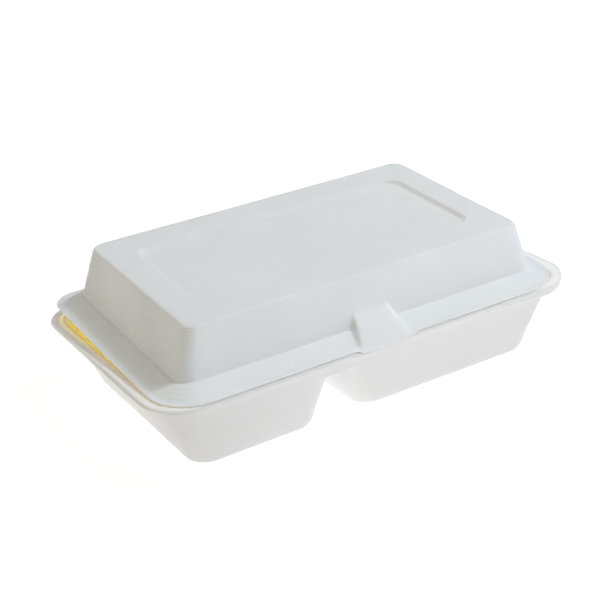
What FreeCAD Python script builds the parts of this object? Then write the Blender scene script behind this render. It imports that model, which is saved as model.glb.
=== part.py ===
"""Hinged two-compartment meal box in moulded pulp, closed.

The box is one thin moulded sheet with two fold lines along its back edge. Each
fold-to-fold region is a solid of its own, so that the lid can swing: the tray,
the narrow hinge strip, and the lid. Millimetres. X runs along the length, -Y is
the front with the catch, +Z is up. The origin is the middle of the footprint, on
the surface that the box stands on.
"""
import FreeCAD, Part
import math
import os

Vector = FreeCAD.Vector

# ---- the sheet -------------------------------------------------------------
wall = 0.8              # pressed pulp sheet
side_draw = 0.72        # how far a steep wall's inner skin is drawn in, in sheet thicknesses

# ---- tray ------------------------------------------------------------------
tray_length = 252.6     # flange, outside
tray_depth = 148.6
tray_corner = 22.0      # flange corner radius at the front
tray_back_corner = 18.0
tray_height = 41.0      # top face of the flange
trim_shift = 0.9        # the flange is trimmed this far off the middle of the pockets
end_flange = 8.3        # mean flange width at the two ends, outside edge to wall
long_flange = 7.6       # and along the front and back
pocket_corner = 14.2
foot_corner_gain = 3.0  # a wall corner is this much tighter at the floor
wall_lean_x = 15.5      # how far the end walls lean in over the tray's height
wall_lean_y = 7.1       # and the long walls
floor_round = 3.6       # rounding between wall and floor
flange_round = 4.8      # rounding between wall and flange, on the outside
rim_drop = 14.0         # the wells part this far below the flange
divider_x = -20.4       # middle of the divider between the small and the large well
divider_gap = 5.0       # open width under the divider's web
divider_round = 3.0     # rounding along the divider's crest
crest_steps = 3         # facets across half of that rounding

# ---- lid, in its own frame: flange underside at z = 0 ----------------------
end_inset = 6.3         # lid's ends inside the tray's
back_inset = 4.0        # lid's back edge inside the tray's, before the tilt
lid_corner = 22.0       # flange corner radius at the front
lid_back_corner = 14.0
lid_flange = 1.8        # flange width, outside edge to skirt
skirt_corner = 18.0
skirt_round = 1.4       # rounding between flange and skirt
skirt_width_x = 12.0    # flange to the crease where the skirt meets the dome wall
skirt_width_y = 9.5
foot_corner = 10.0
foot_height = 5.8
foot_round = 1.0
dome_lean_x = 7.5       # how far the dome walls lean in, crease to crown
dome_lean_y = 5.0
crown_corner = 7.0
crown_height = 31.6
crown_round = 3.0
dome_shift = 1.7        # dome's middle behind the middle of the lid's flange
border_x = 16.2         # crown's edge to the sunken panel, at the panel's upper rim
border_y = 19.2
panel_corner = 8.0
panel_drop = 1.9
panel_slope = 2.6       # width of the panel's sloped border
panel_round = 2.2

# ---- catch at the middle of the front: a boss on the lid with a lip over the tray's edge ----
catch_x = 0.6           # middle of the catch
boss_foot_width = 33.5  # at the flange
boss_top_width = 22.0   # where it dies into the dome wall
boss_top = 13.0         # height above the flange underside where it dies out
boss_round = 1.6        # rounding of its two front edges
lip_drop = 1.2          # lip below the flange underside
lip_clearance = 0.4     # lip to the tray's edge

# ---- hinge at the back -----------------------------------------------------
lid_tilt = 3.4          # closed lid, raised at the back by the hinge strip
front_inset = 0.3       # lid's front edge behind the tray's
crease_space = 0.8      # flange edge to fold line
hinge_end = 28.3        # tray's end to the end of the hinge strip
rest_gap = 0.05         # lid edge over the tray flange

# ---- lengths and depths that follow from these -----------------------------
pocket_length = tray_length - 2 * end_flange
pocket_depth = tray_depth - 2 * long_flange
lid_length = tray_length - 2 * end_inset
lid_depth = tray_depth - back_inset
foot_length = lid_length - 2 * (lid_flange + skirt_width_x)
foot_depth = lid_depth - 2 * (lid_flange + skirt_width_y)
crown_length = foot_length - 2 * dome_lean_x
crown_depth = foot_depth - 2 * dome_lean_y
panel_length = crown_length - 2 * border_x
panel_depth = crown_depth - 2 * border_y
hinge_length = tray_length - 2 * hinge_end


def box_section(length, depth, corner, z, x=0.0, y=0.0, back_corner=None):
    """Rounded rectangle as a closed wire of lines and arcs."""
    left, right = x - length / 2, x + length / 2
    front, back = y - depth / 2, y + depth / 2
    rear = back_corner or corner
    bow, rear_bow = corner * (1 - math.sqrt(0.5)), rear * (1 - math.sqrt(0.5))
    sides = [((left + corner, front), (right - corner, front)),
             ((right, front + corner), (right, back - rear)),
             ((right - rear, back), (left + rear, back)),
             ((left, back - rear), (left, front + corner))]
    bows = [(right - bow, front + bow), (right - rear_bow, back - rear_bow),
            (left + rear_bow, back - rear_bow), (left + bow, front + bow)]
    edges = []
    for i, (start, end) in enumerate(sides):
        following = sides[(i + 1) % 4][0]
        edges.append(Part.LineSegment(Vector(*start, z), Vector(*end, z)).toShape())
        edges.append(Part.Arc(Vector(*end, z), Vector(*bows[i], z), Vector(*following, z)).toShape())
    return Part.Wire(edges)


def frustum(lower, upper):
    """Straight-sided solid between two sections."""
    return Part.makeLoft([lower, upper], True, True)


def edges_at(shape, z):
    """Edges that lie in the plane at z."""
    return [edge for edge in shape.Edges if all(abs(vertex.Z - z) < 1e-4 for vertex in edge.Vertexes)]


def within(edge, length, depth, y=0.0):
    """True for an edge inside a rectangle about the middle of the length."""
    box = edge.BoundBox
    reach_x = max(box.XMax, -box.XMin)
    reach_y = max(box.YMax - y, y - box.YMin)
    return reach_x < length / 2 + 0.1 and reach_y < depth / 2 + 0.1


# ---- tray ------------------------------------------------------------------
def pocket_section(z, skin):
    """Length, depth and corner radius inside the walls at height z, drawn in by the skin."""
    fall = (tray_height + skin - z) / tray_height
    draw = skin * side_draw
    return (pocket_length - 2 * (fall * wall_lean_x + draw),
            pocket_depth - 2 * (fall * wall_lean_y + draw),
            pocket_corner - fall * foot_corner_gain - draw)


def tray_form(skin):
    """The tray filled in, as a solid; with a skin, the space in it and above its flange."""
    rim_foot = tray_height - rim_drop + skin
    form = frustum(box_section(*pocket_section(rim_foot, skin), rim_foot),
                   box_section(*pocket_section(tray_height + skin, skin), tray_height + skin))
    for side in (-1, 1):
        form = form.fuse(well_form(skin, side))
    underside = tray_height - wall + skin
    flange = Part.Face(box_section(tray_length + 2 * skin, tray_depth + 2 * skin, tray_corner + skin,
                                   underside, trim_shift, back_corner=tray_back_corner + skin))
    form = form.fuse(flange.extrude(Vector(0, 0, wall))).removeSplitter()
    root = [edge for edge in edges_at(form, underside) if within(edge, pocket_length, pocket_depth)]
    return form.makeFillet(flange_round + skin, root)


def well_form(skin, side):
    """One well, left (-1) or right (1) of the divider, with the divider's crest rounded over."""
    height = tray_height - rim_drop
    lean = math.atan(wall_lean_x / tray_height)
    radius = divider_round - wall + skin
    half_gap = divider_gap / 2 + skin * side_draw
    crest_start = half_gap - radius * (1 - math.sin(lean)) / math.cos(lean)

    def section(z, near):
        """Section at z whose divider side lies near the divider's middle by the given distance."""
        length, depth, corner = pocket_section(z, skin)
        inner, outer = sorted((divider_x + side * near, side * length / 2))
        return box_section(outer - inner, depth, corner, z, (inner + outer) / 2)

    crest = []
    for step in range(crest_steps + 1):
        angle = lean + (math.pi / 2 - lean) * step / crest_steps
        crest.append(section(skin + height - radius * (1 - math.sin(angle)),
                             crest_start + radius * math.cos(angle)))
    well = frustum(section(skin, half_gap + height * math.tan(lean)), crest[0])
    well = well.makeFillet(floor_round - skin, edges_at(well, skin))
    return well.fuse(Part.makeLoft(crest, True, True))


def make_tray():
    return tray_form(0.0).cut(tray_form(wall))


# ---- lid -------------------------------------------------------------------
def lid_form(skin):
    """The lid filled in, as a solid; with a skin, the space in it and under its flange."""
    draw = 2 * skin * side_draw
    foot = foot_height - skin
    crown = crown_height - skin
    root = box_section(lid_length - 2 * lid_flange - draw, lid_depth - 2 * lid_flange - draw,
                       skirt_corner - draw / 2, -skin)
    crease = box_section(foot_length - draw, foot_depth - draw, foot_corner - draw / 2, foot,
                         y=dome_shift)
    top = box_section(crown_length - draw, crown_depth - draw, crown_corner - draw / 2, crown,
                      y=dome_shift)
    form = frustum(root, crease).fuse(frustum(crease, top)).removeSplitter()
    form = form.makeFillet(foot_round + skin, edges_at(form, foot))
    panel = frustum(
        box_section(panel_length - 2 * panel_slope, panel_depth - 2 * panel_slope,
                    panel_corner - panel_slope, crown - panel_drop, y=dome_shift),
        box_section(panel_length, panel_depth, panel_corner, crown, y=dome_shift))
    form = form.cut(panel).removeSplitter()
    rim = [edge for edge in edges_at(form, crown)
           if not within(edge, panel_length, panel_depth, dome_shift)]
    form = form.makeFillet(crown_round - skin, rim)
    form = form.makeFillet(panel_round + skin, edges_at(form, crown - panel_drop))
    lip = [edge for edge in edges_at(form, crown)
           if within(edge, panel_length, panel_depth, dome_shift)]
    form = form.makeFillet(panel_round - skin, lip)
    flange = Part.Face(box_section(lid_length + 2 * skin, lid_depth + 2 * skin, lid_corner + skin,
                                   -skin, back_corner=lid_back_corner + skin))
    form = form.fuse(flange.extrude(Vector(0, 0, wall))).removeSplitter()
    root = [edge for edge in edges_at(form, wall - skin)
            if within(edge, lid_length - 2 * lid_flange, lid_depth - 2 * lid_flange)]
    form = form.makeFillet(skirt_round + skin, root)
    return form.fuse(boss_form(skin))


def boss_form(skin):
    """Locking boss: starts in front of the tray's edge and dies into the dome wall."""
    draw = skin * side_draw
    front = tray_front() - lip_clearance - wall + draw
    wall_lean = dome_lean_y / (crown_height - foot_height)
    top_front = dome_shift - foot_depth / 2 + wall_lean * (boss_top - foot_height) + draw
    inner = dome_shift - crown_depth / 2 + crown_corner
    half_foot = boss_foot_width / 2 - draw
    half_top = boss_top_width / 2 - draw
    boss = loft_outlines(
        [(-half_foot, front), (half_foot, front), (half_foot, inner), (-half_foot, inner)], -skin,
        [(-half_top, top_front), (half_top, top_front), (half_top, inner), (-half_top, inner)],
        boss_top - skin)
    corners = [edge for edge in boss.Edges
               if edge.BoundBox.ZLength > 1 and edge.CenterOfMass.y < (front + inner) / 2]
    return boss.makeFillet(boss_round - skin, corners)


def loft_outlines(lower, lower_z, upper, upper_z):
    """Solid between two straight-edged outlines on the catch's centre line."""
    wires = []
    for outline, z in ((lower, lower_z), (upper, upper_z)):
        points = [Vector(catch_x + x, y, z) for x, y in outline]
        wires.append(Part.makePolygon(points + points[:1]))
    return Part.makeLoft(wires, True, True)


def tray_front():
    """Front edge of the closed tray in the lid's own frame, where y = 0 is the lid's middle."""
    return -lid_depth / 2 - front_inset


def make_level_lid():
    """Lid in its own frame: flange underside at z = 0, flange centred on x and y."""
    lip_length = boss_foot_width - 2 * boss_round
    lip = Part.makeBox(lip_length, wall, lip_drop + wall / 2,
                       Vector(catch_x - lip_length / 2, tray_front() - lip_clearance - wall, -lip_drop))
    lip = lip.makeFillet(wall / 4, [edge for edge in edges_at(lip, -lip_drop) if edge.Length > wall])
    return lid_form(0.0).cut(lid_form(wall)).fuse(lip)


def close_lid(shape):
    """Move a shape from the lid's own frame to its place on the tray, tilted about the front edge."""
    shape.translate(Vector(0, lid_depth / 2, 0))
    shape.rotate(Vector(0, 0, 0), Vector(1, 0, 0), lid_tilt)
    shape.translate(Vector(0, -tray_depth / 2 + front_inset, tray_height + rest_gap))
    return shape


# ---- hinge -----------------------------------------------------------------
def tray_crease():
    """Point (y, z) of the fold line behind the tray's flange."""
    return tray_depth / 2 + crease_space, tray_height - wall / 2


def lid_crease():
    """Point (y, z) of the fold line behind the closed lid's flange."""
    reach, rise = lid_depth + crease_space, wall / 2
    tilt = math.radians(lid_tilt)
    return (-tray_depth / 2 + front_inset + reach * math.cos(tilt) - rise * math.sin(tilt),
            tray_height + rest_gap + reach * math.sin(tilt) + rise * math.cos(tilt))


def make_hinge_strip():
    """Strip between the two fold lines, with round edges centred on them."""
    (y0, z0), (y1, z1) = tray_crease(), lid_crease()
    width = math.hypot(y1 - y0, z1 - z0)
    half = wall / 2
    start, end = Vector(-hinge_length / 2, 0, 0), Vector(-hinge_length / 2, 0, width)
    outline = Part.Wire([
        Part.LineSegment(start + Vector(0, half, 0), end + Vector(0, half, 0)).toShape(),
        Part.Arc(end + Vector(0, half, 0), end + Vector(0, 0, half), end - Vector(0, half, 0)).toShape(),
        Part.LineSegment(end - Vector(0, half, 0), start - Vector(0, half, 0)).toShape(),
        Part.Arc(start - Vector(0, half, 0), start - Vector(0, 0, half),
                 start + Vector(0, half, 0)).toShape()])
    strip = Part.Face(outline).extrude(Vector(hinge_length, 0, 0))
    strip.rotate(Vector(0, 0, 0), Vector(1, 0, 0), math.degrees(math.atan2(y0 - y1, z1 - z0)))
    strip.translate(Vector(0, y0, z0))
    return strip


if __name__ == "__main__":
    os.makedirs("parts", exist_ok=True)
    nodes = {"tray": make_tray(), "lid": close_lid(make_level_lid()), "hinge_strip": make_hinge_strip()}
    for name, shape in nodes.items():
        shape.translate(Vector(-trim_shift, 0, 0))
        shape.exportStep(f"parts/{name}.step")
        print(name, round(shape.Volume), "mm3")
    print("fold lines (y, z):", tray_crease(), lid_crease())
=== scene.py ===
import bpy
import math
from mathutils import Matrix, Vector
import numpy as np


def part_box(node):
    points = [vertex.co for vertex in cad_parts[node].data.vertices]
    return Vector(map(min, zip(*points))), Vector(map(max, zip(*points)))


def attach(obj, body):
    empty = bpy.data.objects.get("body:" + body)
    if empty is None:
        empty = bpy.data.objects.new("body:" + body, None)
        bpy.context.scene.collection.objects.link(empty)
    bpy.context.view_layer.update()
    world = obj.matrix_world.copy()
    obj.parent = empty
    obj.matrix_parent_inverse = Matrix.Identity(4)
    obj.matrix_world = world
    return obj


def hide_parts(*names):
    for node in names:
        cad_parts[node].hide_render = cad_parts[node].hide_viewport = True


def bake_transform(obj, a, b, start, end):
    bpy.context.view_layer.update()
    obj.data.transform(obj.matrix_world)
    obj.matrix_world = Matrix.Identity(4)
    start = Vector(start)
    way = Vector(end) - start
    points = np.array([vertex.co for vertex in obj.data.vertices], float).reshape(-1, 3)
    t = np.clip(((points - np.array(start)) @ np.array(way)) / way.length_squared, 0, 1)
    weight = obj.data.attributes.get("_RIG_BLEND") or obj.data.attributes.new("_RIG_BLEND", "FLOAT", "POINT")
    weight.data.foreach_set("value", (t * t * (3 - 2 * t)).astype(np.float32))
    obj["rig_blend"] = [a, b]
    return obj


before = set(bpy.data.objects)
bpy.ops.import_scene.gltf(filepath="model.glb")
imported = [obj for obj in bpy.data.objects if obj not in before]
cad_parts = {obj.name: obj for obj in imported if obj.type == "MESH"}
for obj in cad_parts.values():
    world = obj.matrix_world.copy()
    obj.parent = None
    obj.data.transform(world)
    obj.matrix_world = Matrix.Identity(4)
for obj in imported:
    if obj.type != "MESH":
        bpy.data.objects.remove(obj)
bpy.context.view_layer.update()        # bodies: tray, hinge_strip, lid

mm = 0.001


# adds a node, sets or links its inputs, and returns it
def addNode(tree, kind, inputs=None, **settings):
    node = tree.nodes.new(kind)
    for name, value in settings.items():
        setattr(node, name, value)
    for key, value in (inputs or {}).items():
        if isinstance(value, bpy.types.NodeSocket):
            tree.links.new(value, node.inputs[key])
        else:
            node.inputs[key].default_value = value
    return node


# the next few add nodes and return what comes out of them
def calc(tree, operation, first, second=0.0, third=0.0):
    return addNode(tree, "ShaderNodeMath", {0: first, 1: second, 2: third}, operation=operation).outputs[0]


def vectorCalc(tree, operation, first, second=(0, 0, 0), third=(0, 0, 0)):
    return addNode(tree, "ShaderNodeVectorMath", {0: first, 1: second, 2: third},
                   operation=operation).outputs


def blendOf(tree, start, end, share):        # start + share * (end - start)
    return calc(tree, "MULTIPLY_ADD", calc(tree, "SUBTRACT", end, start), share, start)


def rangeOf(tree, value, low, high, toLow=0.0, toHigh=1.0, curve="LINEAR"):
    return addNode(tree, "ShaderNodeMapRange",
                   {"Value": value, "From Min": low, "From Max": high, "To Min": toLow, "To Max": toHigh},
                   interpolation_type=curve).outputs[0]


def noiseOf(tree, vector, scale, detail, roughness=0.5, distortion=0.0):
    return addNode(tree, "ShaderNodeTexNoise",
                   {"Vector": vector, "Scale": scale, "Detail": detail, "Roughness": roughness,
                    "Distortion": distortion}).outputs


def colorBlend(tree, first, second, share):
    return addNode(tree, "ShaderNodeMix", {"Factor": share, 6: (*first, 1), 7: (*second, 1)},
                   data_type="RGBA").outputs[2]


def vectorOf(tree, x, y, z):
    return addNode(tree, "ShaderNodeCombineXYZ", {0: x, 1: y, 2: z}).outputs[0]


def partsOf(tree, vector):
    return addNode(tree, "ShaderNodeSeparateXYZ", {0: vector}).outputs


def addSockets(tree, inputs, outputs):
    for name, kind, default in inputs:
        socket = tree.interface.new_socket(name, in_out="INPUT", socket_type="NodeSocket" + kind)
        if default is not None:
            socket.default_value = default
    for name, kind in outputs:
        tree.interface.new_socket(name, in_out="OUTPUT", socket_type="NodeSocket" + kind)


# A flat sheet of quads whose points know where in the mould they belong. A point has a station,
# counted from the sheet's edge inwards, and a column round the ring with these six values:
#   end, side       -1 to 1 from left to right and from front to back
#   across, along   round a corner, 0 to 1 towards the end wall and 1 to 0 from the long wall
#   toFeature       0 at the corners, 1 at the divider or the boss
#   bulge           share of the boss
columnNames = ("end", "side", "across", "along", "toFeature", "bulge")


class FlatSheet:
    def __init__(self, name, counts):
        self.name, self.counts = name, counts
        self.points, self.faces = {}, []

    def point(self, station, column):
        key = (station, *(round(value, 5) + 0.0 for value in column))
        return self.points.setdefault(key, len(self.points))

    def addRing(self, station, columns, flip):
        for here, there in zip(columns, columns[1:] + columns[:1]):
            quad = [self.point(station, here), self.point(station, there),
                    self.point(station + 1, there), self.point(station + 1, here)]
            self.faces.append(quad[::-1] if flip else quad)

    def addPatch(self, rows, flip):          # rows of point indices, all of one length
        for low, high in zip(rows, rows[1:]):
            for i in range(len(low) - 1):
                quad = [low[i], low[i + 1], high[i + 1], high[i]]
                self.faces.append(quad[::-1] if flip else quad)

    def endPath(self, end):                  # from the front's feature round one end to the back's
        side, corner, wall = (self.counts[name] for name in ("side", "corner", "wall"))
        turns = [math.pi / 2 * j / corner for j in range(1, corner + 1)]
        path = [(end, -1, 0, 1, 1 - k / side, 0) for k in range(side + 1)]
        path += [(end, -1, math.sin(turn), math.cos(turn), 0, 0) for turn in turns]
        path += [(end, 2 * k / wall - 1, 1, 0, 0, 0) for k in range(1, wall + 1)]
        path += [(end, 1, math.cos(turn), math.sin(turn), 0, 0) for turn in turns]
        return path + [(end, 1, 0, 1, k / side, 0) for k in range(1, side + 1)]

    def featurePath(self, end):              # from the back along the feature's side to the front
        corner, wall = self.counts["corner"], self.counts["wall"]
        turns = [math.pi / 2 * j / corner for j in range(corner + 1)]
        path = [(end, 1, math.sin(turn), math.cos(turn), 1, 0) for turn in turns]
        path += [(end, 1 - 2 * k / wall, 1, 0, 1, 0) for k in range(1, wall + 1)]
        return path + [(end, -1, math.cos(turn), math.sin(turn), 1, 0) for turn in turns[1:]]

    def wholeLoop(self):                     # counterclockwise seen from above
        steps = self.counts["feature"]
        front = [(share, -1, 0, 1, 1, bulge) for share, bulge in steps[1:-1]]
        back = [(share, 1, 0, 1, 1, 0) for share, _ in steps[1:-1]]
        return self.endPath(1) + back[::-1] + self.endPath(-1)[::-1] + front

    def fill(self, station, frontColumns, flip):         # the flat middle, in rows from front to back
        wall = self.counts["wall"]
        rows = []
        for k in range(wall + 1):
            side = 2 * k / wall - 1
            rows.append([self.point(station, (c[0], side, *c[2:5], c[5] if k == 0 else 0))
                         for c in frontColumns])
        self.addPatch(rows, flip)

    def makeObject(self):
        mesh = bpy.data.meshes.new(self.name)
        mesh.from_pydata([(0.0, 0.0, 0.0)] * len(self.points), [], self.faces)
        keys = list(self.points)
        mesh.attributes.new("station", "INT", "POINT").data.foreach_set("value", [k[0] for k in keys])
        for i, name in enumerate(columnNames, 1):
            mesh.attributes.new(name, "FLOAT", "POINT").data.foreach_set("value", [k[i] for k in keys])
        sheet = bpy.data.objects.new(self.name, mesh)
        bpy.context.scene.collection.objects.link(sheet)
        return sheet


# The mould's sections, one for each station, from the sheet's edge to its middle, in mm:
#   reach    half length, half depth, height
#   corner   radius in front, radius at the back, half width of the divider (of the boss, less the radius)
#   middle   shift in x and in y, and 1 where the boss stands out
#   boss     its half width, y and z
#   extra    light let through, share of the droop, and more radius at the right front
sectionNames = ("reach", "corner", "middle", "boss", "extra")


def section(reach, corner, middle, boss=(0, 0, 0), extra=(0, 0, 0)):
    return {name: Vector(sizes) for name, sizes in zip(sectionNames, (reach, corner, middle, boss, extra))}


def mixSections(first, second, share):
    return {name: first[name].lerp(second[name], share) for name in sectionNames}


def roundCorner(before, corner, after, tangent, steps):    # the bend, as a curve of steps + 1 stations
    ends = []
    for other in (before, after):
        span = (corner["reach"] - other["reach"]).length
        ends.append(mixSections(corner, other, min(0.49, tangent / max(span, 1e-6))))
    bend = []
    for k in range(steps + 1):
        share = k / steps
        into, outOf = mixSections(ends[0], corner, share), mixSections(corner, ends[1], share)
        bend.append(mixSections(into, outOf, share))
    return bend


def makeMould(name, stations):               # one point a section, with its sizes as attributes
    mesh = bpy.data.meshes.new(name)
    mesh.from_pydata([(0.0, 0.0, 0.0)] * len(stations), [], [])
    for attribute in sectionNames:
        values = [mm * number for station in stations for number in station[attribute]]
        mesh.attributes.new(attribute, "FLOAT_VECTOR", "POINT").data.foreach_set("vector", values)
    holder = bpy.data.objects.new(name, mesh)
    bpy.context.scene.collection.objects.link(holder)
    return holder


# how a pressed sheet gives way and lets light through, with its places in metres
pressing = {
    "sagMiddle": 0.515,                      # the sag begins this share of its length before the middle
    "sagHeight": 0.012,                      # and dies out at this height
    "frontDroop": (-0.063, -0.074),          # the y between which the front edge turns down
    "rightDroop": (0.055, 0.1),              # the x between which it turns down further
    "leftCurve": 4.0,                        # how late round its corners the left lip turns down
    "seedShift": 7.3,                        # between the waves of one seed and the next
    "leftRim": (-0.015, 0.025),              # the y between which the left rim lights up
    "rimLeast": 0.1,                         # share of the rim's light elsewhere
    "rimUpTo": 0.5, "wallFrom": 0.6,         # light of a section that is rim, and of one that is wall
    "mostLight": 0.95, "moreAtLeft": 0.45,
}


def addSag(tree, given, y, height):
    share = calc(tree, "ADD", y, calc(tree, "MULTIPLY", given["Sag Length"], pressing["sagMiddle"]))
    share = rangeOf(tree, share, 0.0, given["Sag Length"])
    rest = calc(tree, "SUBTRACT", 1.0, share)
    sag = calc(tree, "MULTIPLY", share, given["Sag"])
    sag = calc(tree, "MULTIPLY", sag, calc(tree, "MULTIPLY", rest, rest))
    return calc(tree, "MULTIPLY", sag, rangeOf(tree, height, 0.0, pressing["sagHeight"], 1.0, 0.0))


def addDroop(tree, given, x, y, end, across, share):
    front, right, left = partsOf(tree, given["Droop"])
    toFront = rangeOf(tree, y, *pressing["frontDroop"], curve="SMOOTHSTEP")
    toRight = rangeOf(tree, x, *pressing["rightDroop"], curve="SMOOTHSTEP")
    drop = calc(tree, "MULTIPLY", toFront, calc(tree, "MULTIPLY_ADD", toRight, right, front))
    isLeft = calc(tree, "MAXIMUM", calc(tree, "MULTIPLY", end, -1.0), 0.0)
    toLeft = calc(tree, "MULTIPLY", isLeft, calc(tree, "POWER", across, pressing["leftCurve"]))
    drop = calc(tree, "MULTIPLY_ADD", toLeft, left, drop)
    return calc(tree, "MULTIPLY", drop, calc(tree, "MULTIPLY", share, 1 / mm))


def addWaves(tree, given, sheet):
    shift = calc(tree, "MULTIPLY", given["Seed"], pressing["seedShift"])
    at = addNode(tree, "GeometryNodeInputPosition").outputs[0]
    at = vectorCalc(tree, "MULTIPLY", at, calc(tree, "DIVIDE", 1.0, given["Wave Size"]))[0]
    wave = noiseOf(tree, vectorCalc(tree, "ADD", at, shift)[0], 1.0, 1.0)[0]
    waviness = calc(tree, "MULTIPLY", given["Waviness"], 2.0)
    lift = calc(tree, "MULTIPLY", calc(tree, "SUBTRACT", wave, 0.5), waviness)
    normal = addNode(tree, "GeometryNodeInputNormal").outputs[0]
    offset = addNode(tree, "ShaderNodeVectorMath", {0: normal, "Scale": lift}, operation="SCALE").outputs[0]
    return addNode(tree, "GeometryNodeSetPosition", {"Geometry": sheet, "Offset": offset}).outputs[0]


def addLight(tree, y, end, light):           # the rim keeps its light only at the left, towards the back
    atLeft = rangeOf(tree, y, *pressing["leftRim"], pressing["rimLeast"], 1.0)
    rimShare = calc(tree, "MULTIPLY", end, calc(tree, "MULTIPLY", atLeft, -1.0))
    rimShare = calc(tree, "MAXIMUM", rimShare, pressing["rimLeast"])
    isWall = rangeOf(tree, light, pressing["rimUpTo"], pressing["wallFrom"])
    light = calc(tree, "MULTIPLY", light, blendOf(tree, rimShare, 1.0, isWall))
    most = calc(tree, "MULTIPLY_ADD", rimShare, pressing["moreAtLeft"], pressing["mostLight"])
    return calc(tree, "MINIMUM", light, most)


# Geometry Nodes press the flat sheet into the mould
def makePressTree():
    tree = bpy.data.node_groups.new("pressSheet", "GeometryNodeTree")
    tree.is_modifier = True
    addSockets(tree, (
        ("Geometry", "Geometry", None), ("Sections", "Object", None), ("Material", "Material", None),
        ("Feature X", "Float", 0.0), ("Tilt", "Float", 0.0), ("Place", "Vector", (0.0, 0.0, 0.0)),
        ("Droop", "Vector", (0.0, 0.0, 0.0)), ("Sag", "Float", 0.0), ("Sag Length", "Float", 0.14),
        ("Waviness", "Float", 0.0001), ("Wave Size", "Float", 0.04), ("Seed", "Int", 1),
    ), (("Geometry", "Geometry"),))
    given = addNode(tree, "NodeGroupInput").outputs
    mould = addNode(tree, "GeometryNodeObjectInfo", {"Object": given["Sections"]}).outputs["Geometry"]

    def named(name, kind="FLOAT"):
        return addNode(tree, "GeometryNodeInputNamedAttribute", {"Name": name}, data_type=kind).outputs[0]

    station = named("station", "INT")
    sizes = {}
    for name in sectionNames:
        sampled = addNode(tree, "GeometryNodeSampleIndex",
                          {"Geometry": mould, "Value": named(name, "FLOAT_VECTOR"), "Index": station},
                          data_type="FLOAT_VECTOR", domain="POINT")
        sizes[name] = partsOf(tree, sampled.outputs[0])
    end, side, across, along, toFeature, bulge = (named(name) for name in columnNames)
    length, depth, height = sizes["reach"]
    frontRadius, backRadius, featureHalf = sizes["corner"]
    shiftX, shiftY, isBoss = sizes["middle"]
    bossHalf, bossY, bossZ = sizes["boss"]
    light, droopShare, rightGain = sizes["extra"]

    toBack = calc(tree, "MULTIPLY_ADD", side, 0.5, 0.5)
    radius = blendOf(tree, frontRadius, backRadius, toBack)
    atRight = calc(tree, "MULTIPLY", calc(tree, "MAXIMUM", end, 0.0), calc(tree, "SUBTRACT", 1.0, toBack))
    radius = calc(tree, "MULTIPLY_ADD", rightGain, atRight, radius)
    bow = calc(tree, "MULTIPLY", radius, calc(tree, "SUBTRACT", 1.0, across))    # corner's arc in x
    atEnd = calc(tree, "MULTIPLY_ADD", end, calc(tree, "SUBTRACT", length, bow), shiftX)
    atFeature = calc(tree, "MULTIPLY_ADD", end, calc(tree, "ADD", featureHalf, bow), given["Feature X"])
    x = blendOf(tree, atEnd, atFeature, toFeature)
    sink = calc(tree, "MULTIPLY", radius, calc(tree, "SUBTRACT", 1.0, along))    # and in y
    y = calc(tree, "MULTIPLY_ADD", side, calc(tree, "SUBTRACT", depth, sink), shiftY)
    z = calc(tree, "SUBTRACT", height, addSag(tree, given, y, height))
    z = calc(tree, "SUBTRACT", z, addDroop(tree, given, x, y, end, across, droopShare))
    bossX = calc(tree, "MULTIPLY_ADD", end, bossHalf, given["Feature X"])
    onBoss = calc(tree, "MULTIPLY", bulge, calc(tree, "MULTIPLY", isBoss, 1 / mm))
    placed = addNode(tree, "ShaderNodeMix", {"Factor": onBoss, "A": vectorOf(tree, x, y, z),
                                             "B": vectorOf(tree, bossX, bossY, bossZ)}, data_type="VECTOR")
    pressed = addNode(tree, "GeometryNodeSetPosition", {"Geometry": given["Geometry"],
                                                        "Position": placed.outputs[1]}).outputs[0]
    tilted = addNode(tree, "GeometryNodeTransform",
                     {"Geometry": addWaves(tree, given, pressed), "Translation": given["Place"],
                      "Rotation": vectorOf(tree, given["Tilt"], 0.0, 0.0)})
    sheet = addNode(tree, "GeometryNodeRealizeInstances", {"Geometry": tilted.outputs[0]}).outputs[0]
    light = addLight(tree, y, end, calc(tree, "MULTIPLY", light, 1 / mm))
    facing = addNode(tree, "GeometryNodeInputNormal").outputs[0]
    for name, value, kind in (("glow", light, "FLOAT"), ("outward", facing, "FLOAT_VECTOR")):
        sheet = addNode(tree, "GeometryNodeStoreNamedAttribute",
                        {"Geometry": sheet, "Name": name, "Value": value},
                        data_type=kind, domain="POINT").outputs[0]
    dressed = addNode(tree, "GeometryNodeSetMaterial", {"Geometry": sheet, "Material": given["Material"]})
    addNode(tree, "NodeGroupOutput", {0: dressed.outputs[0]})
    return tree


def setInputs(modifier, values):             # by identifier, before the first evaluation
    for item in modifier.node_group.interface.items_tree:
        if item.in_out == "INPUT" and item.name in values:
            modifier[item.identifier] = values[item.name]


def thickenAndSoften(piece, thickness, offset, **details):
    shell = piece.modifiers.new("sheetThickness", "SOLIDIFY")
    shell.thickness, shell.offset = thickness, offset
    for name, value in details.items():
        setattr(shell, name, value)
    soft = piece.modifiers.new("softEdges", "SUBSURF")
    soft.levels = soft.render_levels = 1


def applyAll(piece):                         # the evaluated result becomes a plain mesh
    evaluated = piece.evaluated_get(bpy.context.evaluated_depsgraph_get())
    mesh = bpy.data.meshes.new_from_object(evaluated)
    piece.modifiers.clear()
    piece.data = mesh
    if "outward" in mesh.attributes:         # only the inside lets light through
        outward, glow = mesh.attributes["outward"].data, mesh.attributes["glow"].data
        for i, normal in enumerate(mesh.vertex_normals):
            glow[i].value *= max(0.0, -normal.vector.dot(outward[i].vector))
    for name in [a.name for a in mesh.attributes if a.name in (*columnNames, "station", "outward")]:
        mesh.attributes.remove(mesh.attributes[name])
    mesh.polygons.foreach_set("use_smooth", [True] * len(mesh.polygons))
    mesh.name = piece.name


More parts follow.
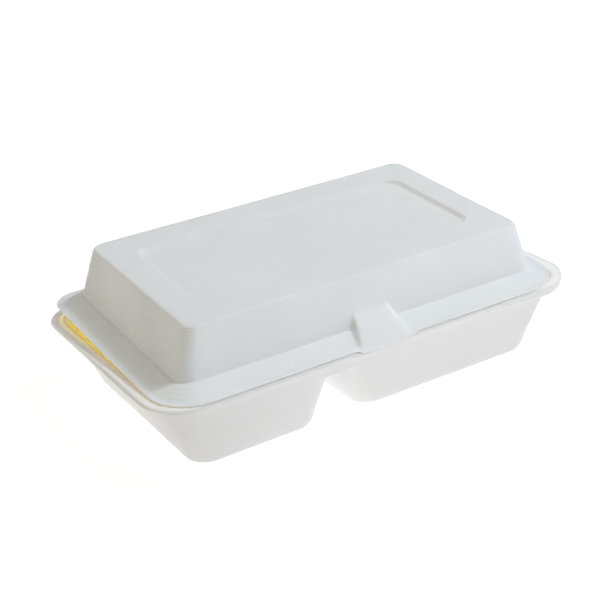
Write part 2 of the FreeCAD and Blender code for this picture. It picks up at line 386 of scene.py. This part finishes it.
def pressSheet(sheet, stations, values, material, inputs):
    piece = sheet.makeObject()
    mould = makeMould(sheet.name + "Mould", stations)
    press = piece.modifiers.new("press", "NODES")
    press.node_group = pressTree
    setInputs(press, {"Sections": mould, "Material": material, "Waviness": values["waviness"] * mm,
                      "Wave Size": values["waveSize"] * mm, "Seed": values["seed"], **inputs})
    thickenAndSoften(piece, values["wall"] * mm, -1, use_even_offset=True, use_quality_normals=True)
    applyAll(piece)
    bpy.data.objects.remove(mould)
    return piece


tray = {                                     # mm
    "wall": 0.8, "cornerFront": 22.0, "cornerBack": 18.0, "rightEdgeGain": 3.0,
    "flangeShares": (0.1, 0.26, 0.44), "flangeTangent": 3.4, "flangeSteps": 5,
    "lipDroopShare": 0.3,                    # the droop of the second station, the edge being the first
    "rimLights": (0.5, 0.5, 0.6, 1.2, 1.4),  # light let through, from the edge inwards
    "droop": 2.2, "droopRight": 2.2, "droopLeft": 1.2, "leftTuck": 1.0,
    "pocketShift": -0.9, "pocketLength": 236.0, "pocketDepth": 133.4, "pocketCorner": 14.2,
    "footCornerGain": 3.0, "rightCornerGain": -6.0, "leanX": 15.5, "leanY": 7.1,
    "wallHeights": (37.0, 33.0, 30.0, 28.2), "wellHeights": (21.0, 16.0, 11.0, 6.5),
    "rimDrop": 14.0, "dividerX": -21.3, "dividerGap": 5.0, "crestRound": 2.2, "crestSteps": 3,
    "floorTangent": 2.6, "floorSteps": 4, "floorInset": 9.0, "floorCornerLoss": 6.0, "floorShare": 0.6,
    "waviness": 0.22, "waveSize": 46.0, "seed": 3,
    "counts": {"side": 12, "corner": 8, "wall": 14, "web": 3},
}


def makeTray(values):
    low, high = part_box("tray")
    top = high.z / mm
    lean = math.atan(values["leanX"] / top)

    def wallAt(height, feature):
        fall = (top - height) / top
        corner = values["pocketCorner"] - fall * values["footCornerGain"]
        return section((values["pocketLength"] / 2 - fall * values["leanX"],
                        values["pocketDepth"] / 2 - fall * values["leanY"], height),
                       (corner, corner, feature), (values["pocketShift"], 0, 0),
                       extra=(1, 0, values["rightCornerGain"] * (1 - fall)))

    # the flange and the rim, down to the divider's crest
    webHeight = top - values["rimDrop"]
    crest = values["crestRound"]
    crestStart = values["dividerGap"] / 2 - crest * (1 - math.sin(lean)) / math.cos(lean)
    underside = top - values["wall"]
    tuck = values["leftTuck"] / 2
    edge = section(((high.x - low.x) / 2 / mm - tuck, (high.y - low.y) / 2 / mm, underside),
                   (values["cornerFront"], values["cornerBack"], crestStart), (tuck, 0, 0),
                   extra=(0, 1, values["rightEdgeGain"]))
    root, rimFoot = wallAt(underside, crestStart), wallAt(webHeight, crestStart)
    stations = [edge] + [mixSections(edge, root, share) for share in values["flangeShares"]]
    stations += roundCorner(edge, root, rimFoot, values["flangeTangent"], values["flangeSteps"])
    for station, light in zip(stations, values["rimLights"]):
        station["extra"].x = light
    for station in stations[1:]:
        station["extra"].y = 0
    stations[1]["extra"].y = values["lipDroopShare"]
    stations += [wallAt(height, crestStart) for height in values["wallHeights"]]

    # from here the two wells part
    rimEnd = len(stations)
    for k in range(values["crestSteps"] + 1):
        angle = math.pi / 2 + (lean - math.pi / 2) * k / values["crestSteps"]
        down, out = crest * (1 - math.sin(angle)), crest * math.cos(angle)
        stations.append(wallAt(webHeight - down, crestStart + out))

    def wellAt(height):
        return wallAt(height, values["dividerGap"] / 2 + (webHeight - height) * math.tan(lean))

    stations += [wellAt(height) for height in values["wellHeights"]]
    foot, middle = wellAt(0.0), wellAt(0.0)
    inset, loss = values["floorInset"], values["floorCornerLoss"]
    middle["reach"] -= Vector((inset, inset, 0))
    middle["corner"] += Vector((-loss, -loss, inset))
    stations += roundCorner(wellAt(values["wellHeights"][-1]), foot, middle, values["floorTangent"],
                            values["floorSteps"])
    stations += [mixSections(foot, middle, values["floorShare"]), middle]

    # the flat sheet: rings down to the crest, then a loop for each well, and the web between them
    counts = values["counts"]
    steps = [(share / counts["web"], 0) for share in range(-counts["web"], counts["web"] + 1)]
    sheet = FlatSheet("mealTray", {**counts, "feature": steps})
    for station in range(rimEnd):
        sheet.addRing(station, sheet.wholeLoop(), flip=True)
    for end in (-1, 1):
        inner = sheet.featurePath(end)
        loop = sheet.endPath(end) + inner[1:-1]
        for station in range(rimEnd, len(stations) - 1):
            sheet.addRing(station, loop, flip=end > 0)
        front = inner[-1 - counts["corner"]:-1] + sheet.endPath(end)[:counts["side"] + counts["corner"] + 1]
        sheet.fill(len(stations) - 1, front, flip=end > 0)
    web = [[sheet.point(rimEnd, (share, *column[1:])) for column in sheet.featurePath(-1)]
           for share, _ in steps]
    sheet.addPatch(web, flip=True)
    droop = tuple(values[name] * mm for name in ("droop", "droopRight", "droopLeft"))
    return pressSheet(sheet, stations, values, trayPulp,
                      {"Feature X": values["dividerX"] * mm, "Droop": droop})


lid = {                                      # mm and degrees
    "wall": 0.8, "length": 240.0, "depth": 144.6, "middleX": -0.9, "tilt": 3.4, "frontInset": 0.3,
    "restGap": 0.05, "cornerFront": 22.0, "cornerBack": 14.0, "rightCornerGain": 4.0, "gainHeight": 6.0,
    "flange": 1.8, "flangeShare": 0.3, "flangeTangent": 1.3, "skirtCorner": 18.0, "skirtWidthX": 12.0,
    "skirtWidthY": 9.5, "skirtShares": (0.45, 0.88), "footCorner": 8.5, "footHeight": 5.8,
    "groove": 0.45, "leftGroove": 0.8, "grooveHeight": 1.2, "grooveTangent": 0.8,
    "domeShift": 1.7, "leanX": 7.5, "leanY": 5.0, "wallHeights": (9.5, 11.2, 13.0, 15.5, 20.0, 24.5, 27.8),
    "crownCorner": 6.5, "crownHeight": 31.6, "crownTangent": 2.4, "crownSteps": 5,
    "borderX": 16.2, "borderY": 19.2, "borderShares": (0.3, 0.6, 0.85), "panelCorner": 8.0,
    "panelDrop": 2.1, "panelSlope": 2.1, "panelTangent": 0.9, "bendSteps": 3,
    "middleInset": 9.0, "middleCorner": 2.0, "middleShare": 0.55,
    "catchX": -0.3, "bossFoot": 33.5, "bossTop": 22.0, "bossHeight": 13.0, "lipDrop": 1.2,
    "lipClearance": 0.4, "bossAtRoot": 0.22, "bossAtCrease": 0.62,
    # places across the front of the boss and how far each stands out
    "bossColumns": ((1.0, 0.0), (0.965, 0.1), (0.91, 0.5), (0.86, 0.88), (0.8, 1.0), (0.66, 1.0),
                    (0.35, 1.0)),
    "wallLight": 0.7, "topLight": 0.1,
    "sag": 8.3, "sagLength": 140.0, "waviness": 0.25, "waveSize": 50.0, "seed": 8,
    "counts": {"side": 11, "corner": 8, "wall": 14},
}


def makeLid(values):
    trayLow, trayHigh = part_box("tray")
    middleX, shift, wall = values["middleX"], values["domeShift"], values["wall"]
    halfLength, halfDepth = values["length"] / 2, values["depth"] / 2
    rootLength, rootDepth = halfLength - values["flange"], halfDepth - values["flange"]
    footLength, footDepth = rootLength - values["skirtWidthX"], rootDepth - values["skirtWidthY"]
    crownLength, crownDepth = footLength - values["leanX"], footDepth - values["leanY"]
    foot, crown, boss = values["footHeight"], values["crownHeight"], values["bossHeight"]

    def ring(length, depth, height, front, back, y, share):
        # share is how far up the boss this station comes; past the boss it has no bulge
        halfBoss = values["bossFoot"] / 2 + (values["bossTop"] - values["bossFoot"]) / 2 * min(share, 1)
        bossFront = -halfDepth - values["frontInset"] - values["lipClearance"] - wall
        bossEnd = shift - footDepth + values["leanY"] * (boss - foot) / (crown - foot)
        bossY = bossFront + (bossEnd - bossFront) * min(share, 1)
        bossZ = -values["lipDrop"] + (boss + values["lipDrop"]) * min(share, 1)
        light = values["wallLight"] if height < crown - 1 else values["topLight"]
        gain = values["rightCornerGain"] * max(0, 1 - height / (foot + values["gainHeight"]))
        return section((length, depth, height), (front, back, halfBoss - front),
                       (middleX, y, 1 if share < 1 else 0), (halfBoss, bossY, bossZ), (light, 0, gain))

    def domeAt(height):
        up = (height - foot) / (crown - foot)
        corner = values["footCorner"] + (values["crownCorner"] - values["footCorner"]) * up
        atCrease = values["bossAtCrease"]
        share = atCrease + (1 - atCrease) * (height - foot) / (boss - foot)
        return ring(footLength - up * values["leanX"], footDepth - up * values["leanY"], height,
                    corner, corner, shift, share)

    def panelAt(inset, height, corner):
        return ring(crownLength - values["borderX"] - inset, crownDepth - values["borderY"] - inset, height,
                    corner, corner, shift, 2)

    # the flange and the sloping skirt
    rise = wall / foot
    edge = ring(halfLength, halfDepth, wall, values["cornerFront"], values["cornerBack"], 0, 0.0)
    rootCorner = values["skirtCorner"] + (values["footCorner"] - values["skirtCorner"]) * rise
    root = ring(rootLength - rise * values["skirtWidthX"], rootDepth - rise * values["skirtWidthY"], wall,
                rootCorner, rootCorner, shift * rise, values["bossAtRoot"])
    crease = ring(footLength, footDepth, foot, values["footCorner"], values["footCorner"], shift,
                  values["bossAtCrease"])
    bendSteps = values["bendSteps"]
    stations = [edge, mixSections(edge, root, values["flangeShare"])]
    stations += roundCorner(edge, root, crease, values["flangeTangent"], bendSteps)
    stations += [mixSections(root, crease, share) for share in values["skirtShares"]]

    # the dome, from the groove at its foot to the crown
    groove = mixSections(crease, crease, 0)
    groove["reach"].z -= values["groove"]
    groove["extra"].y = 1
    aboveGroove = domeAt(foot + values["grooveHeight"])
    stations += roundCorner(stations[-1], groove, aboveGroove, values["grooveTangent"], bendSteps)
    stations += [aboveGroove] + [domeAt(height) for height in values["wallHeights"]]
    top = domeAt(crown)
    lip = panelAt(0, crown, values["panelCorner"])
    stations += roundCorner(stations[-1], top, lip, values["crownTangent"], values["crownSteps"])

    # the sunk panel
    slope, low = values["panelSlope"], crown - values["panelDrop"]
    sunk = panelAt(slope, low, values["panelCorner"] - slope)
    inner = panelAt(values["middleInset"], low, values["middleCorner"])
    stations += [mixSections(top, lip, share) for share in values["borderShares"]]
    stations += roundCorner(top, lip, sunk, values["panelTangent"], bendSteps)
    stations += roundCorner(lip, sunk, inner, values["panelTangent"], bendSteps)
    stations += [mixSections(sunk, inner, values["middleShare"]), inner]

    # the flat sheet, with closer columns where the boss begins
    half = values["bossColumns"]
    steps = [(-share, bulge) for share, bulge in half] + [(0.0, 1.0)] + list(half[::-1])
    sheet = FlatSheet("mealLid", {**values["counts"], "feature": steps})
    for station in range(len(stations) - 1):
        sheet.addRing(station, sheet.wholeLoop(), flip=False)
    ways = sheet.counts["side"] + sheet.counts["corner"] + 1
    front = sheet.endPath(-1)[:ways][::-1] + [(share, -1, 0, 1, 1, bulge) for share, bulge in steps[1:-1]]
    sheet.fill(len(stations) - 1, front + sheet.endPath(1)[:ways], flip=False)

    tilt = math.radians(values["tilt"])
    place = Vector((0, trayLow.y / mm + values["frontInset"], trayHigh.z / mm + values["restGap"]))
    place += Vector((0, halfDepth * math.cos(tilt), halfDepth * math.sin(tilt)))
    return pressSheet(sheet, stations, values, lidPulp,
                      {"Feature X": values["catchX"] * mm, "Droop": (0, 0, values["leftGroove"] * mm),
                       "Sag": values["sag"] * mm, "Sag Length": values["sagLength"] * mm,
                       "Tilt": tilt, "Place": tuple(place * mm)})


strip = {                                    # mm
    "wall": 0.8, "bow": 0.25, "panelSteps": 8, "endGap": 0.3, "lengthSteps": 90,
    "crease": 0.5,                           # thickness at the folds, where the pulp is crushed
    "behindFold": (1.4, 0.9, 0.4), "pastFold": (0.1, 0.5, 0.9, 1.4),
    "bendOffset": 0.2, "bendHalf": 0.35,     # the part of a crease that bends
}


def makeRibbon(name, path, ends, thickness, steps):    # path runs across in (y, z), ends are in x
    mesh = bpy.data.meshes.new(name)
    rows = len(path)
    points = [(ends[0] + (ends[1] - ends[0]) * i / steps, y, z) for i in range(steps + 1) for y, z in path]
    quads = [(i * rows + j, (i + 1) * rows + j, (i + 1) * rows + j + 1, i * rows + j + 1)
             for i in range(steps) for j in range(rows - 1)]
    mesh.from_pydata([Vector(point) * mm for point in points], [], quads)
    mesh.materials.append(hingePulp)
    ribbon = bpy.data.objects.new(name, mesh)
    bpy.context.scene.collection.objects.link(ribbon)
    thickenAndSoften(ribbon, thickness * mm, 0)
    applyAll(ribbon)
    return ribbon


def makeStrip(values):
    low, high = (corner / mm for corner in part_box("hinge_strip"))
    half = values["wall"] / 2
    trayFold, lidFold = Vector((high.y - half, low.z + half)), Vector((low.y + half, high.z - half))
    up = (lidFold - trayFold).normalized()
    out = Vector((up.y, -up.x))
    ends = (low.x + values["endGap"], high.x - values["endGap"])
    shares = [k / values["panelSteps"] for k in range(values["panelSteps"] + 1)]
    path = [trayFold.lerp(lidFold, share) + out * values["bow"] * math.sin(math.pi * share)
            for share in shares]
    panel = makeRibbon("hingePanel", path, ends, values["wall"], values["lengthSteps"])
    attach(panel, "hinge_strip")
    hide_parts("hinge_strip")

    tilt = math.radians(lid["tilt"])
    for name, fold, away, along, bodies in (
            ("trayCrease", trayFold, Vector((-1, 0)), up, ("tray", "hinge_strip")),
            ("lidCrease", lidFold, Vector((-math.cos(tilt), -math.sin(tilt))), -up, ("lid", "hinge_strip"))):
        path = [fold + away * step for step in values["behindFold"]]
        path += [fold + along * step for step in values["pastFold"]]
        crease = makeRibbon(name, path, ends, values["crease"], values["lengthSteps"])
        across = (along - away).normalized() * values["bendHalf"]
        middle = fold + (along + away).normalized() * values["bendOffset"]
        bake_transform(crease, *bodies, start=(0, *((middle - across) * mm)), end=(0, *((middle + across) * mm)))


# rows of small bumps that the forming screen leaves, strongest on the end walls and the corners
def makeScreenGroup():
    tree = bpy.data.node_groups.new("formingScreen", "ShaderNodeTree")
    addSockets(tree, (
        ("Pitch", "Vector", (0.0013, 0.0013, 0.0013)), ("Patchiness", "Float", 0.6),
        ("Facing Strength", "Vector", (1.0, 1.0, 1.0)), ("Corner Strength", "Float", 1.0),
        ("Plain Middle", "Float", 0.05), ("Fade", "Float", 0.02), ("Patch Scale", "Float", 28.0),
        ("Wobble", "Float", 0.0006), ("Wobble Scale", "Float", 60.0),
    ), (("Marks", "Float"),))
    given = addNode(tree, "NodeGroupInput").outputs
    where = addNode(tree, "ShaderNodeTexCoord").outputs
    at = where["Object"]
    wobble = noiseOf(tree, at, given["Wobble Scale"], 1.0)["Color"]
    pushed = vectorCalc(tree, "MULTIPLY_ADD", wobble, given["Wobble"], at)[0]
    phases = partsOf(tree, vectorCalc(tree, "DIVIDE", pushed, given["Pitch"])[0])
    x, y, z = (calc(tree, "SINE", calc(tree, "MULTIPLY", phase, 2 * math.pi)) for phase in phases)

    # each way a wall can face has its own weave, blended by how squarely it faces that way
    facing = partsOf(tree, where["Normal"])
    shares = [calc(tree, "POWER", calc(tree, "ABSOLUTE", part), 4.0) for part in facing]
    weaves = [calc(tree, "MULTIPLY", first, second) for first, second in ((y, z), (z, x), (x, y))]
    total = calc(tree, "ADD", calc(tree, "ADD", shares[0], shares[1]), shares[2])
    marks = 0.0
    for share, weave, strength in zip(shares, weaves, partsOf(tree, given["Facing Strength"])):
        marks = calc(tree, "MULTIPLY_ADD", calc(tree, "MULTIPLY", share, strength), weave, marks)
    marks = calc(tree, "DIVIDE", marks, total)
    atCorner = calc(tree, "MAXIMUM", calc(tree, "MULTIPLY", facing[0], facing[1]), 0.0)
    marks = calc(tree, "MULTIPLY_ADD", calc(tree, "MULTIPLY", atCorner, given["Corner Strength"]), z, marks)

    # worn away in patches, and plain in the middle of the length
    cover = rangeOf(tree, noiseOf(tree, at, given["Patch Scale"], 2.0)[0], 0.35, 0.65)
    cover = blendOf(tree, 1.0, cover, given["Patchiness"])
    fromMiddle = calc(tree, "SUBTRACT", calc(tree, "ABSOLUTE", partsOf(tree, at)[0]), given["Plain Middle"])
    cover = calc(tree, "MULTIPLY", cover, rangeOf(tree, fromMiddle, 0.0, given["Fade"]))
    addNode(tree, "NodeGroupOutput", {0: calc(tree, "MULTIPLY", marks, cover)})
    return tree


def makeFibreGroup():
    tree = bpy.data.node_groups.new("plantFibre", "ShaderNodeTree")
    addSockets(tree, (("Fibre Scale", "Float", 900.0), ("Cloud Scale", "Float", 35.0)),
               (("Fibre", "Float"), ("Cloud", "Float")))
    given = addNode(tree, "NodeGroupInput").outputs
    where = addNode(tree, "ShaderNodeTexCoord").outputs["Object"]
    fibre = noiseOf(tree, where, given["Fibre Scale"], 4.0, roughness=0.7, distortion=1.2)[0]
    cloud = noiseOf(tree, where, given["Cloud Scale"], 3.0)[0]
    addNode(tree, "NodeGroupOutput", {0: fibre, 1: cloud})
    return tree


pulp = {                                     # white plant fibre, a little see-through
    "pale": (0.81, 0.82, 0.84), "dark": (0.75, 0.76, 0.775), "rough": 0.72, "roughSpread": 0.06,
    "fibreDepth": 0.03 * mm, "fibreScale": 900.0, "cloudScale": 35.0, "gloss": 0.3,
    # the forming screen's marks; markedSides are for walls that face x, y and z
    "pitch": (1.8 * mm, 2.1 * mm, 1.4 * mm), "screenDepth": 0.16 * mm, "markTone": 1.5,
    "cornerMarks": 2.8, "markedSides": (1.0, 0.12, 0.08), "patchiness": 0.8, "plainMiddle": 40 * mm,
    # how deep red, green and blue light soaks in, in mm
    "seeThrough": 1.0, "outsideGlow": (0.5, 0.5, 0.45), "rimGlow": (1.6, 1.55, 1.5),
    "wallGlow": (18, 6.8, 1.0),
    "glowSteps": (0.5, 1.0, 1.4),            # the glow of the rim, of the walls and of the gap at the left
    # the walls glow where little of the space around is open, and the gap a little beyond
    "closedWithin": 0.2, "openness": (0.1, 0.3), "gapReach": 0.33,
}


def makePulp(name, look):
    material = bpy.data.materials.new(name)
    material.use_nodes = True
    tree = material.node_tree
    principled = tree.nodes["Principled BSDF"]
    marks = addNode(tree, "ShaderNodeGroup", node_tree=screenGroup)
    for socket, value in (("Pitch", "pitch"), ("Patchiness", "patchiness"), ("Plain Middle", "plainMiddle"),
                          ("Facing Strength", "markedSides"), ("Corner Strength", "cornerMarks")):
        marks.inputs[socket].default_value = look[value]
    marks = marks.outputs["Marks"]
    fibre = addNode(tree, "ShaderNodeGroup", node_tree=fibreGroup)
    fibre.inputs["Fibre Scale"].default_value = look["fibreScale"]
    fibre.inputs["Cloud Scale"].default_value = look["cloudScale"]
    tone = calc(tree, "MULTIPLY_ADD", marks, look["markTone"], fibre.outputs["Cloud"])
    color = colorBlend(tree, look["dark"], look["pale"], tone)
    height = calc(tree, "MULTIPLY_ADD", marks, look["screenDepth"],
                  calc(tree, "MULTIPLY", fibre.outputs["Fibre"], look["fibreDepth"]))
    bump = addNode(tree, "ShaderNodeBump", {"Height": height, "Distance": 1.0}).outputs[0]
    rough = rangeOf(tree, fibre.outputs["Fibre"], 0.0, 1.0, look["rough"] - look["roughSpread"],
                    look["rough"] + look["roughSpread"])

    # light soaks in by three steps: the outside, the rim and, while the box is shut, the walls inside
    rim, wall, gap = look["glowSteps"]
    glow = addNode(tree, "ShaderNodeAttribute", attribute_name="glow").outputs["Fac"]
    openness = addNode(tree, "ShaderNodeAmbientOcclusion", {"Distance": look["closedWithin"]}, samples=4)
    nearGap = rangeOf(tree, glow, wall, gap, 1.0, look["gapReach"])
    openness = calc(tree, "MULTIPLY", openness.outputs["AO"], nearGap)
    closed = rangeOf(tree, openness, *look["openness"], 1.0, 0.0)
    rimShare = rangeOf(tree, glow, 0.0, rim)
    wallShare = rangeOf(tree, glow, rim, wall, 0.0, closed)
    depth = look["outsideGlow"]
    for share, deeper in ((rimShare, look["rimGlow"]), (wallShare, look["wallGlow"])):
        depth = addNode(tree, "ShaderNodeMix", {"Factor": share, 4: depth, 5: deeper},
                        data_type="VECTOR").outputs[1]
    for socket, value in (("Base Color", color), ("Normal", bump), ("Roughness", rough),
                          ("Subsurface Radius", depth)):
        tree.links.new(value, principled.inputs[socket])
    principled.subsurface_method = "BURLEY"
    principled.inputs["Subsurface Weight"].default_value = look["seeThrough"]
    principled.inputs["Subsurface Scale"].default_value = mm
    principled.inputs["Specular IOR Level"].default_value = look["gloss"]
    return material


screenGroup = makeScreenGroup()
fibreGroup = makeFibreGroup()
# the tray's copy of the pulp is painted darker than the lid's, as painted shade for its flange under the lid,
# and the table's extra light keeps its walls bright; the lid's copy is paler and bluer
trayPulp = makePulp("trayPulp", {**pulp, "pale": (0.785, 0.785, 0.79), "dark": (0.735, 0.735, 0.735),
                                 "markTone": 0.4, "cornerMarks": 0.5, "screenDepth": 0.03 * mm})
lidPulp = makePulp("lidPulp", {**pulp, "pale": (0.805, 0.827, 0.847), "dark": (0.745, 0.767, 0.787)})
hingePulp = makePulp("hingePulp", pulp)
print("pulp mixed")

pressTree = makePressTree()
trayShell = makeTray(tray)
print("tray pressed", len(trayShell.data.polygons))
lidShell = makeLid(lid)
print("lid pressed", len(lidShell.data.polygons))
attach(trayShell, "tray")
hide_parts("tray")
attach(lidShell, "lid")
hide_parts("lid")
makeStrip(strip)
print("hinge strip folded")

view = {                                     # degrees and metres, the lens in mm
    "azimuth": -29.39, "elevation": 24.41, "roll": -4.65, "distance": 0.72556,
    "lens": 80.153, "aim": (-0.003, 0.00486, 0.03706),
}


def makeCamera(values):
    turn, rise, roll = (math.radians(values[name]) for name in ("azimuth", "elevation", "roll"))
    back = Vector((math.sin(turn) * math.cos(rise), -math.cos(turn) * math.cos(rise), math.sin(rise)))
    right = (-back).cross(Vector((0, 0, 1))).normalized()
    up = right.cross(-back)
    rolledRight = math.cos(roll) * right + math.sin(roll) * up
    rolledUp = math.cos(roll) * up - math.sin(roll) * right
    data = bpy.data.cameras.new("camera")
    data.sensor_width = 36
    data.lens = values["lens"]
    camera = bpy.data.objects.new("camera", data)
    bpy.context.scene.collection.objects.link(camera)
    place = Matrix((rolledRight, rolledUp, back)).transposed().to_4x4()
    place.translation = Vector(values["aim"]) + back * values["distance"]
    camera.matrix_world = place
    bpy.context.scene.camera = camera


makeCamera(view)
print("camera placed")

# a pale tent over a light table, with a lamp high on the right and a weak one in front
studio = {
    "tent": 0.45, "tentColor": (0.94, 0.985, 1.02),
    "leftColor": (1.09, 0.945, 0.68), "leftFade": (-0.05, -0.75),        # warmer towards the left
    "rightTent": 0.6, "rightFade": (0.1, 0.9),                           # and dimmer towards the right
    "darkCorner": (-0.68, -0.73, 0.05), "cornerTent": 0.24, "cornerFade": (0.66, 1.0),
    "leftWindow": (-0.83, 0.45, 0.33), "windowTent": 0.3, "windowFade": (0.5, 1.0),
    "tableColor": (0.35, 0.35, 0.35), "tableGlow": 0.82, "tableLift": 1.2, "tableHalf": 4.0,
    "darkFloor": (-0.9, -0.43, 0), "floorGlow": 0.64, "floorFade": (0.085, 0.2),
    "underGlow": 0.22, "underReach": (0.13, 0.075), "underFade": (0.6, 1.0),    # light under the box
    "lamps": (                               # name, place, size, power and colour
        ("keyLamp", (0.75, -0.4, 1.45), 0.3, 13.1, (0.95, 0.99, 1.03)),
        ("frontLamp", (0.35, -1.6, 0.25), 0.5, 1.5, (1.0, 1.0, 0.98)),
    ),
}


def makeTent(values):
    world = bpy.data.worlds.new("studio")
    bpy.context.scene.world = world
    world.use_nodes = True
    tree = world.node_tree
    tree.nodes.clear()
    toward = addNode(tree, "ShaderNodeTexCoord").outputs["Generated"]
    fromLeft = partsOf(tree, toward)[0]
    toLeft = rangeOf(tree, fromLeft, *values["leftFade"])
    tint = colorBlend(tree, values["tentColor"], values["leftColor"], toLeft)
    corner = vectorCalc(tree, "DOT_PRODUCT", toward, values["darkCorner"])["Value"]
    dim = rangeOf(tree, corner, *values["cornerFade"], values["tent"], values["cornerTent"])
    right = rangeOf(tree, fromLeft, *values["rightFade"], 1.0, values["rightTent"])
    window = vectorCalc(tree, "DOT_PRODUCT", toward, values["leftWindow"])["Value"]
    window = rangeOf(tree, window, *values["windowFade"], 0.0, values["windowTent"])
    strength = calc(tree, "MULTIPLY_ADD", dim, right, window)
    tent = addNode(tree, "ShaderNodeBackground", {"Color": tint, "Strength": strength})
    white = addNode(tree, "ShaderNodeBackground", {"Color": (1, 1, 1, 1), "Strength": 1.0})
    path = addNode(tree, "ShaderNodeLightPath").outputs
    seen = calc(tree, "MAXIMUM", path["Is Camera Ray"], path["Is Glossy Ray"])
    seen = calc(tree, "MAXIMUM", seen, path["Is Transmission Ray"])
    mixed = addNode(tree, "ShaderNodeMixShader", {0: seen, 1: tent.outputs[0], 2: white.outputs[0]})
    addNode(tree, "ShaderNodeOutputWorld", {0: mixed.outputs[0]})


def makeTable(values):                       # white acrylic, softly lit from below
    half, below = values["tableHalf"], -0.1 * mm
    mesh = bpy.data.meshes.new("floor")
    mesh.from_pydata([(x * half, y * half, below) for x, y in ((-1, -1), (1, -1), (1, 1), (-1, 1))], [],
                     [(0, 1, 2, 3)])
    floor = bpy.data.objects.new("floor", mesh)
    bpy.context.scene.collection.objects.link(floor)
    material = bpy.data.materials.new("lightTable")
    material.use_nodes = True
    material.cycles.emission_sampling = "NONE"
    tree = material.node_tree
    tree.nodes.clear()
    matt = addNode(tree, "ShaderNodeBsdfDiffuse", {"Color": (*values["tableColor"], 1)})
    at = addNode(tree, "ShaderNodeTexCoord").outputs["Object"]
    reachX, reachY = values["underReach"]
    spread = vectorCalc(tree, "MULTIPLY", at, (1 / reachX, 1 / reachY, 0))[0]
    away = vectorCalc(tree, "LENGTH", spread)["Value"]
    under = rangeOf(tree, away, *values["underFade"], values["underGlow"], 0.0, curve="SMOOTHSTEP")
    aside = vectorCalc(tree, "DOT_PRODUCT", at, values["darkFloor"])["Value"]
    kept = rangeOf(tree, aside, *values["floorFade"], values["tableLift"], values["floorGlow"])
    seen = addNode(tree, "ShaderNodeLightPath").outputs["Is Camera Ray"]
    strength = calc(tree, "MULTIPLY_ADD", blendOf(tree, kept, 1.0, seen), values["tableGlow"], under)
    glow = addNode(tree, "ShaderNodeEmission", {"Color": (1, 1, 1, 1), "Strength": strength})
    surface = addNode(tree, "ShaderNodeAddShader", {0: matt.outputs[0], 1: glow.outputs[0]})
    addNode(tree, "ShaderNodeOutputMaterial", {0: surface.outputs[0]})
    mesh.materials.append(material)


def makeLamps(values):                       # both face the middle of the table
    for name, place, size, power, color in values["lamps"]:
        lamp = bpy.data.objects.new(name, bpy.data.lights.new(name, "AREA"))
        lamp.data.energy, lamp.data.size, lamp.data.color = power, size, color
        lamp.location = place
        lamp.rotation_euler = (-Vector(place)).to_track_quat("-Z", "Y").to_euler()
        bpy.context.scene.collection.objects.link(lamp)


bpy.context.scene.view_settings.view_transform = "Standard"
makeTent(studio)
makeTable(studio)
makeLamps(studio)
print("tent, table and lamps set up")
